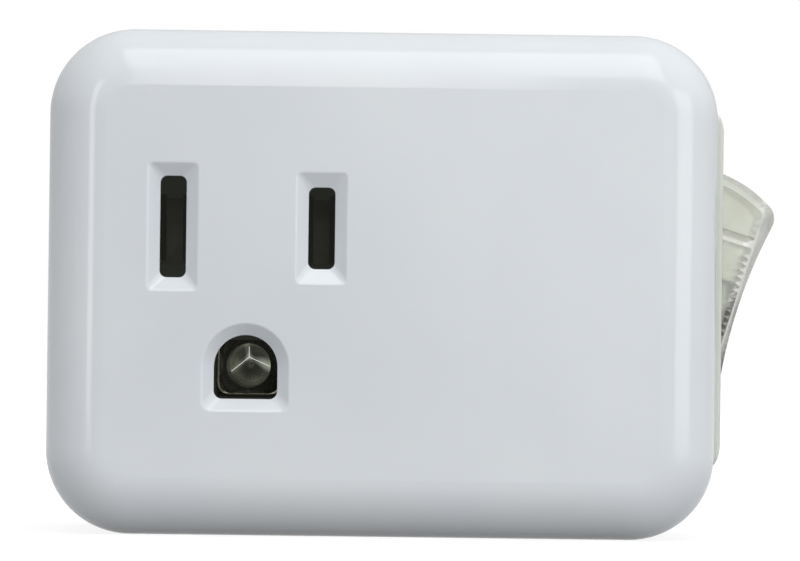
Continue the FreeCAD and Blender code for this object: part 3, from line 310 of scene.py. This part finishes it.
def finish_of(name, light, dark, drift_size, grain_size, roughness, bump, specks=None,
              strokes=None, painted_depth_shade=None, satin=None, painted_shading=None, glow=None, **shader):
    """A finish: its drifting colour, the dust and the painted light and shade on it, its grain and
    what is the same all over. The sizes of drift and grain and the height of the bumps are in mm,
    and the roughness goes from its smoothest to its roughest."""
    material = bpy.data.materials.new(name)
    material.use_nodes = True
    tree = material.node_tree
    principled = tree.nodes["Principled BSDF"]
    for label, value in shader.items():
        principled.inputs[label.replace("_", " ")].default_value = value
    colour = placed(tree, "drift", Light=(*light, 1), Dark=(*dark, 1), Size=drift_size)
    paint = colour.outputs["Colour"]
    if specks:
        dots = placed(tree, "specks", Spacing=specks["spacing"], Speck_size=specks["size"],
                      Share=specks["share"])
        paint = painted(tree, paint, specks["colour"], dots.outputs["Mask"])
    # painted shade: the colour darkens with depth behind the front
    if painted_depth_shade:
        depth = placed(tree, "depth", First=painted_depth_shade["from"], Second=painted_depth_shade["to"])
        paint = painted(tree, paint, painted_depth_shade["colour"], depth.outputs["Mask"])
    # painted light and shade laid over the colour
    if painted_shading:
        paint = painted_shading(tree, paint)
    join(tree, paint, principled.inputs["Base Color"])
    if glow:
        join(tree, glow(tree), principled.inputs["Emission Color"])
    grain = placed(tree, "grain", Size=grain_size, Smooth=roughness[0], Rough=roughness[1])
    rough = grain.outputs["Roughness"]
    if satin:
        walls = placed(tree, "depth", First=satin["from"], Second=satin["to"])
        rough = worked(tree, "MAXIMUM", rough, worked(
            tree, "MULTIPLY", walls.outputs["Mask"], satin["roughness"]))
    join(tree, rough, principled.inputs["Roughness"])
    relief = node(tree, "Bump", Strength=0.5, Distance=bump * MM)
    height = grain.outputs["Height"]
    if strokes:
        lines = placed(tree, "strokes", Along=strokes["along"], Size=strokes["size"])
        height = worked(tree, "ADD", height, lines.outputs["Height"])
    join(tree, height, relief.inputs["Height"])
    join(tree, relief.outputs["Normal"], principled.inputs["Normal"])
    return material


def srgb(red, green, blue):
    """Linear values of a colour given as it looks on a screen."""
    return tuple((c / 255 / 12.92) if c <= 10 else ((c / 255 + 0.055) / 1.055) ** 2.4
                 for c in (red, green, blue))


def rocker_painted_light_shade(tree, paint):
    """Painted light and shade: colours that stand in for what the clear rocker's walls, rib and
    prisms do to the light that comes through them.
    """
    out = measured(tree, OUTWARD, PIVOT)
    up = measured(tree, UPWARD, PIVOT)
    radius = worked(tree, "SQRT", squares(tree, out, up))
    round_wall = rise(tree, radius, ROCKER_INSIDE - 0.15, ROCKER_INSIDE + 0.15)
    paint = painted(tree, paint, srgb(219, 221, 212), round_wall)
    # the socket's bore, painted paler as painted light
    socket = worked(tree, "MULTIPLY", between(tree, up, -SOCKET_HALF, SOCKET_HALF, 0.1),
                    rise(tree, out, *SOCKET_MOUTH))
    paint = painted(tree, paint, srgb(246, 248, 241), socket)
    behind_face = rise(tree, out, FACE_INSIDE + 0.03, FACE_INSIDE - 0.03)
    # rib: its body, painted shade above it and painted light below it
    from_rib = worked(tree, "SUBTRACT", up, RIB_MIDDLE)
    for (low, high), soft, colour in (((-RIB_HALF, RIB_HALF), 0.03, srgb(200, 202, 190)),
                                      (RIB_SHADE, 0.08, srgb(198, 197, 188)),
                                      (RIB_LIGHT, 0.08, srgb(251, 252, 247))):
        line = worked(tree, "MULTIPLY", between(tree, from_rib, low, high, soft), behind_face)
        paint = painted(tree, paint, colour, line)
    # prisms: a painted highlight at the top of their row, painted shade lower down
    saw = worked(tree, "PINGPONG", worked(tree, "SUBTRACT", up, PRISM_START), PRISM_PITCH / 2)
    deep = worked(tree, "MULTIPLY", saw, 2 * PRISM_HEIGHT / PRISM_PITCH)
    past_edge = worked(tree, "ADD", out, worked(tree, "SUBTRACT", deep, FACE_INSIDE))
    prisms = worked(tree, "MULTIPLY", rise(tree, past_edge, -0.03, 0.03),
                    rise(tree, out, FACE_INSIDE + 0.02, FACE_INSIDE - 0.02))
    paint = painted(tree, paint, srgb(252, 253, 248), prisms)
    paint = painted(tree, paint, srgb(104, 102, 96),
                    worked(tree, "MULTIPLY", prisms, rise(tree, up, *PRISMS_DARKEN)))
    # lowest prisms: painted shade
    low_end = worked(tree, "MULTIPLY", rise(tree, up, *PRISMS_END),
                     between(tree, out, FACE_INSIDE - PRISM_HEIGHT, FACE_INSIDE, 0.05))
    paint = painted(tree, paint, srgb(128, 126, 120), low_end)
    # face wall: painted shade below its top, with a painted highlight line along its inside
    face = worked(tree, "MULTIPLY", rise(tree, up, FACE_TOP + 0.5, FACE_TOP - 0.5),
                  rise(tree, out, FACE_INSIDE - 0.02, FACE_INSIDE + 0.02))
    paint = painted(tree, paint, srgb(194, 194, 190), face)
    paint = painted(tree, paint, srgb(200, 200, 197),
                    worked(tree, "MULTIPLY", face, rise(tree, up, *FACE_PALER)))
    inside_line = rise(tree, out, *(FACE_INSIDE + reach for reach in FACE_LINE))
    paint = painted(tree, paint, srgb(238, 240, 232),
                    worked(tree, "MULTIPLY", face, inside_line))
    # round end: painted shade
    tip = worked(tree, "MULTIPLY", between(tree, out, *TIP_OUT, 0.3),
                 between(tree, up, *TIP_UP, 0.4))
    return painted(tree, paint, srgb(184, 186, 181), tip)


def pin_painted_shade(tree, paint):
    """Painted shade: the pin's mouth deep in the case is painted dark."""
    depth = measured(tree, BACK, ORIGIN)
    return painted(tree, paint, srgb(60, 60, 54), rise(tree, depth, *PIN_MOUTH))


def channel_painted_shade(tree, paint):
    """Painted shade: the channel is painted dark under its foot's bright edge and along its left
    side.
    """
    right, high = measured(tree, RIGHT, ORIGIN), measured(tree, HIGH, ORIGIN)
    paint = painted(tree, paint, srgb(60, 57, 50), rise(tree, high, *CHANNEL_FOOT))
    return painted(tree, paint, srgb(80, 77, 68), rise(tree, right, *CHANNEL_LEFT))


def from_seams(tree, right, high):
    """How far a place lies from the nearest of the folded tip's seams, in mm."""
    nearest = None
    for end in SEAM_ENDS:
        run = end - SEAMS_MEET
        share = worked(tree, "MULTIPLY_ADD", right, run.x / run.length_squared,
                       worked(tree, "MULTIPLY", high, run.z / run.length_squared))
        share = worked(tree, "MINIMUM", worked(tree, "MAXIMUM", share, 0.0), 1.0)
        aside, above = (worked(tree, "SUBTRACT", value, worked(tree, "MULTIPLY", share, reach))
                        for value, reach in ((right, run.x), (high, run.z)))
        away = worked(tree, "SQRT", squares(tree, aside, above))
        nearest = away if nearest is None else worked(tree, "MINIMUM", nearest, away)
    return nearest


def pin_glow(tree):
    """Faint light that reaches the folded tip inside the ground pin, most of it at the seams."""
    right, high = measured(tree, RIGHT, SEAMS_MEET), measured(tree, HIGH, SEAMS_MEET)
    dim = placed(tree, "drift", Light=(*srgb(38, 40, 35), 1), Dark=(*srgb(31, 33, 29), 1), Size=1.6)
    light = dim.outputs["Colour"]
    for aside, above, wide, tall in HOLLOWS:
        across, upward = (worked(tree, "DIVIDE", worked(tree, "SUBTRACT", value, middle), size)
                          for value, middle, size in ((right, aside, wide), (high, above, tall)))
        light = painted(tree, light, srgb(36, 37, 33),
                        rise(tree, squares(tree, across, upward), 1.1, 0.2))
    # seams: wider and brighter to the right, and bright where they meet
    from_middle = worked(tree, "SQRT", squares(tree, right, high))
    strength = worked(tree, "MAXIMUM", rise(tree, right, 0.2, 1.6),
                      rise(tree, from_middle, 0.6, 0.1))
    seam = painted(tree, srgb(72, 74, 68), srgb(130, 133, 122), strength)
    width = worked(tree, "MULTIPLY_ADD", rise(tree, right, 0.2, 1.9), 0.9, 1.0)
    spread = worked(tree, "DIVIDE", from_seams(tree, right, high), width)
    light = painted(tree, light, seam, rise(tree, spread, 0.40, 0.02))
    in_tip = rise(tree, measured(tree, BACK, ORIGIN), PIN_TIP - 0.6, PIN_TIP)
    return painted(tree, srgb(0, 0, 0), light, in_tip)


def make_finishes():
    """Every finish by its name. What lies deep in the slots glows faintly, as light that bounces
    there makes it."""
    dust = {"spacing": 9.0, "size": 0.35, "share": 0.12, "colour": srgb(150, 148, 142)}
    side_walls = {"from": -20.4, "to": -18.8, "roughness": 0.5}
    # painted shade deep in the ground hole
    deep_painted_shade = {"from": -23.6, "to": -22.9, "colour": srgb(62, 62, 56)}
    drawn = {"along": (1.0, 0.06, 1.0), "size": 0.12}
    finishes = (
        finish_of("white_shell", srgb(221, 225, 228), srgb(218, 222, 226),
                  14.0, 6.0, (0.08, 0.13), 0.002, specks=dust, satin=side_walls, IOR=1.5),
        # painted light: the block's grey base colour and faint emission stand in for light bouncing
        # in the slots and the hole
        finish_of("black_block", srgb(80, 81, 76), srgb(66, 67, 62),
                  3.0, 0.25, (0.4, 0.6), 0.01, Emission_Color=(*srgb(32, 34, 30), 1),
                  Emission_Strength=1.0),
        finish_of("off_white_nylon", srgb(209, 213, 205), srgb(204, 208, 199),
                  6.0, 0.4, (0.30, 0.40), 0.003),
        finish_of("clear_rocker", srgb(242, 244, 236), srgb(236, 238, 228),
                  2.2, 1.2, (0.10, 0.18), 0.001, painted_shading=rocker_painted_light_shade, IOR=1.49,
                  Transmission_Weight=0.85),
        finish_of("lamp_glass", srgb(240, 240, 238), srgb(232, 233, 230),
                  3.0, 0.6, (0.03, 0.08), 0.002, IOR=1.5, Transmission_Weight=1.0),
        finish_of("zinc_steel", srgb(190, 192, 196), srgb(160, 163, 168),
                  1.2, 0.15, (0.25, 0.42), 0.004, Metallic=1.0),
        finish_of("brass", srgb(214, 182, 116), srgb(202, 168, 102),
                  2.5, 0.12, (0.24, 0.40), 0.003, strokes=drawn, Metallic=1.0),
        # painted shade and painted light: the contacts' brass is darkened to the slots' shade, and
        # its faint emission stands in for light bouncing in the slots
        finish_of("brass_in_painted_shade", srgb(73, 74, 67), srgb(62, 63, 57),
                  2.5, 0.12, (0.30, 0.45), 0.003, strokes=drawn, Metallic=1.0,
                  Emission_Color=(*srgb(24, 25, 22), 1), Emission_Strength=1.0),
        finish_of("ground_channel", srgb(196, 190, 172), srgb(84, 80, 70),
                  0.6, 0.12, (0.24, 0.36), 0.003, painted_depth_shade=deep_painted_shade, painted_shading=channel_painted_shade,
                  Metallic=1.0),
        finish_of("folded_pin", srgb(194, 192, 183), srgb(180, 178, 168),
                  1.5, 0.12, (0.22, 0.40), 0.004, painted_shading=pin_painted_shade, glow=pin_glow, Metallic=1.0,
                  Emission_Strength=1.0),
        finish_of("milky_nylon", srgb(240, 242, 232), srgb(232, 234, 222),
                  3.0, 0.4, (0.25, 0.35), 0.003, IOR=1.5, Transmission_Weight=0.75),
        finish_of("silver", srgb(225, 224, 220), srgb(200, 198, 192),
                  0.8, 0.1, (0.2, 0.35), 0.002, Metallic=1.0),
        finish_of("nickel_wire", srgb(182, 180, 174), srgb(160, 158, 152),
                  0.8, 0.1, (0.25, 0.38), 0.002, Metallic=1.0),
        finish_of("resistor_body", srgb(196, 166, 120), srgb(178, 148, 102),
                  1.0, 0.2, (0.45, 0.6), 0.01),
        finish_of("black_insulation", srgb(44, 44, 46), srgb(34, 34, 36),
                  4.0, 0.3, (0.4, 0.52), 0.01),
        finish_of("white_insulation", srgb(226, 226, 222), srgb(214, 214, 210),
                  4.0, 0.3, (0.4, 0.52), 0.01),
    )
    return {finish.name.split(".")[0]: finish for finish in finishes}


def dress_nodes():
    """Each solid takes the finish that its slot in the record names, or one of its own where it
    looks unlike the rest of that slot."""
    finishes = make_finishes()
    # the contacts take brass with painted shade and painted light
    own = {"neutral_contact": "brass_in_painted_shade", "hot_contact": "brass_in_painted_shade",
           "ground_contact": "ground_channel", "ground_pin": "folded_pin",
           "plunger": "milky_nylon", "plunger_spring": "silver"}
    for name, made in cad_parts.items():
        slot = made.data.materials[0].name.split(".")[0]
        made.data.materials[0] = finishes[own.get(name, slot)]


def fit_spring():
    """The plunger's spring as an object of its own: a copy of the given spring, which is hidden."""
    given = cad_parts["plunger_spring"]
    spring = bpy.data.objects.new("coil_spring", given.data.copy())
    bpy.context.scene.collection.objects.link(spring)
    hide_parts("plunger_spring")
    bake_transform(spring)


def seen_directly(tree):
    """1 where the eye, a gloss or clear plastic looks at the stage, 0 where it only lights."""
    path = node(tree, "LightPath")
    seen = path.outputs["Is Camera Ray"]
    for way in ("Is Glossy Ray", "Is Transmission Ray"):
        seen = worked(tree, "MAXIMUM", seen, path.outputs[way])
    return seen


def stage_piece(name, corners):
    """A flat piece of the studio, and its empty material's tree."""
    mesh = bpy.data.meshes.new(name)
    mesh.from_pydata(corners, [], [(0, 1, 2, 3)])
    made = bpy.data.objects.new(name, mesh)
    bpy.context.scene.collection.objects.link(made)
    material = bpy.data.materials.new(name)
    material.use_nodes = True
    material.node_tree.nodes.clear()
    mesh.materials.append(material)
    return made, material.node_tree


def make_floor():
    """Pale floor at the part's foot. To the eye it is white, less the part's own shadow."""
    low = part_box("front_shell")[0].z
    half = FLOOR_SIDE / 2
    tree = stage_piece("floor", [(-half, -half, low), (half, -half, low),
                                 (half, half, low), (-half, half, low)])[1]
    matte = node(tree, "BsdfDiffuse", Color=(*[FLOOR_COLOUR] * 3, 1))
    faint = node(tree, "BsdfDiffuse", Color=(*[SHADOW_DEPTH] * 3, 1))
    glow = node(tree, "Emission", Color=WHITE)
    place = node(tree, "TexCoord")
    away = node(tree, "VectorMath", operation="DISTANCE")
    away.inputs[1].default_value = (MIDDLE.x, MIDDLE.y, low)
    join(tree, place.outputs["Object"], away.inputs[0])
    fade = node(tree, "MapRange", interpolation_type="SMOOTHSTEP", From_Min=SHADOW_REACH[0],
                From_Max=SHADOW_REACH[1], To_Min=FLOOR_GLOW, To_Max=1.0)
    join(tree, away.outputs["Value"], fade.inputs["Value"])
    dim = worked(tree, "MULTIPLY_ADD", node(tree, "LightPath").outputs["Is Glossy Ray"],
                 FLOOR_GLOSS - 1.0, 1.0)
    join(tree, worked(tree, "MULTIPLY", fade.outputs["Result"], dim), glow.inputs["Strength"])
    both = node(tree, "AddShader")
    join(tree, faint.outputs[0], both.inputs[0])
    join(tree, glow.outputs[0], both.inputs[1])
    mix = node(tree, "MixShader")
    join(tree, seen_directly(tree), mix.inputs[0])
    join(tree, matte.outputs[0], mix.inputs[1])
    join(tree, both.outputs[0], mix.inputs[2])
    join(tree, mix.outputs[0], node(tree, "OutputMaterial").inputs["Surface"])


def make_camera_card():
    """Dark card round the lens, which only gloss sees, so that metal deep in the slots is dark.
    It grows lighter to the right and upward, as the case's front does."""
    half = CARD_SIDE / 2
    x, y, z = EYE.x, EYE.y - CARD_BEHIND, EYE.z
    low, high = z - half, z + CARD_TOP
    card, tree = stage_piece("camera_card", [(x - half, y, low), (x + half, y, low),
                                             (x + half, y, high), (x - half, y, high)])
    dark = node(tree, "BsdfDiffuse", Color=(*[CARD_COLOUR] * 3, 1))
    glow = node(tree, "Emission", Color=WHITE)
    aside = measured(tree, Vector(CARD_WAY), EYE / MM)
    join(tree, worked(tree, "MULTIPLY", rise(tree, aside, *CARD_FADE), CARD_GLOW),
         glow.inputs["Strength"])
    both = node(tree, "AddShader")
    join(tree, dark.outputs[0], both.inputs[0])
    join(tree, glow.outputs[0], both.inputs[1])
    join(tree, both.outputs[0], node(tree, "OutputMaterial").inputs["Surface"])
    for way in ("camera", "diffuse", "transmission", "shadow", "volume_scatter"):
        setattr(card, "visible_" + way, False)


def make_world():
    """A white world behind the part, which lights it more softly than it looks. To gloss its
    ceiling is dimmer than the backdrop."""
    world = bpy.data.worlds.new("studio")
    bpy.context.scene.world = world
    world.use_nodes = True
    tree = world.node_tree
    tree.nodes.clear()
    backdrop = node(tree, "Background", Color=WHITE)
    fill = node(tree, "Background", Color=FILL_COLOUR)
    way = node(tree, "TexCoord")
    split = node(tree, "SeparateXYZ")
    join(tree, way.outputs["Generated"], split.inputs[0])
    side = node(tree, "MapRange", From_Min=FILL_SPAN[0], From_Max=FILL_SPAN[1],
                To_Min=FILL_LEFT, To_Max=FILL)
    join(tree, split.outputs["X"], side.inputs["Value"])
    join(tree, side.outputs["Result"], fill.inputs["Strength"])
    above = node(tree, "MapRange", interpolation_type="SMOOTHSTEP", From_Min=CEILING_SPAN[0],
                 From_Max=CEILING_SPAN[1], To_Min=1.0, To_Max=CEILING)
    join(tree, split.outputs["Z"], above.inputs["Value"])
    path = node(tree, "LightPath")
    join(tree, worked(tree, "MAXIMUM", path.outputs["Is Camera Ray"], worked(
        tree, "MAXIMUM", path.outputs["Is Transmission Ray"], above.outputs["Result"])),
         backdrop.inputs["Strength"])
    mix = node(tree, "MixShader")
    join(tree, seen_directly(tree), mix.inputs[0])
    join(tree, fill.outputs[0], mix.inputs[1])
    join(tree, backdrop.outputs[0], mix.inputs[2])
    join(tree, mix.outputs[0], node(tree, "OutputWorld").inputs["Surface"])


def soft_light(name, distance, azimuths, elevations, brightness, glossy=True):
    """A soft box round the part: its distance from the part's middle, its two sides' azimuths
    from the front in degrees, right being positive, its lower and upper edges' elevations, how
    bright its face is beside white paper, and whether gloss shows it."""
    azimuth, elevation = (math.radians(sum(ends) / 2) for ends in (azimuths, elevations))
    away = Vector((math.sin(azimuth) * math.cos(elevation),
                   -math.cos(azimuth) * math.cos(elevation), math.sin(elevation)))
    width, height = (2 * distance * math.tan(math.radians((ends[1] - ends[0]) / 2))
                     for ends in (azimuths, elevations))
    lamp = bpy.data.lights.new(name, "AREA")
    lamp.shape, lamp.size, lamp.size_y = "RECTANGLE", width, height
    lamp.energy = math.pi * width * height * brightness
    holder = bpy.data.objects.new(name, lamp)
    holder.location = MIDDLE + away * distance
    holder.rotation_mode = "QUATERNION"
    holder.rotation_quaternion = away.to_track_quat("Z", "Y")
    holder.visible_glossy = glossy
    bpy.context.scene.collection.objects.link(holder)


def light_stage():
    """The soft boxes. The back box lights the rear and the sides without a mirror image."""
    soft_light("overhead box", 0.45, (-4, 32), (31, 81), 2.0)
    soft_light("front box", 0.62, (-4, 4), (7, 29), 2.3)
    soft_light("right box", 0.32, (35, 65), (-20, 26), 2.0)
    soft_light("left strip", 0.45, (-36, -27), (-36, 26), 2.7)
    soft_light("back box", 0.62, (150, 210), (15, 60), 1.0, glossy=False)


def aim_camera():
    """The lens looks all but straight on, and the photograph's frame lies beside its axis."""
    camera = bpy.data.cameras.new("camera")
    camera.sensor_width, camera.lens = SENSOR, LENS
    camera.shift_x, camera.shift_y = SHIFT
    camera.clip_start, camera.clip_end = 0.01, 20
    holder = bpy.data.objects.new("camera", camera)
    holder.location = EYE
    holder.rotation_mode = "QUATERNION"
    turn = Quaternion((0, 0, 1), math.radians(ROLL))
    holder.rotation_quaternion = (AIM - EYE).to_track_quat("-Z", "Y") @ turn
    bpy.context.scene.collection.objects.link(holder)
    bpy.context.scene.camera = holder


dress_nodes()
fit_spring()
make_floor()
make_camera_card()
make_world()
light_stage()
aim_camera()
bpy.context.scene.view_settings.view_transform = "Standard"
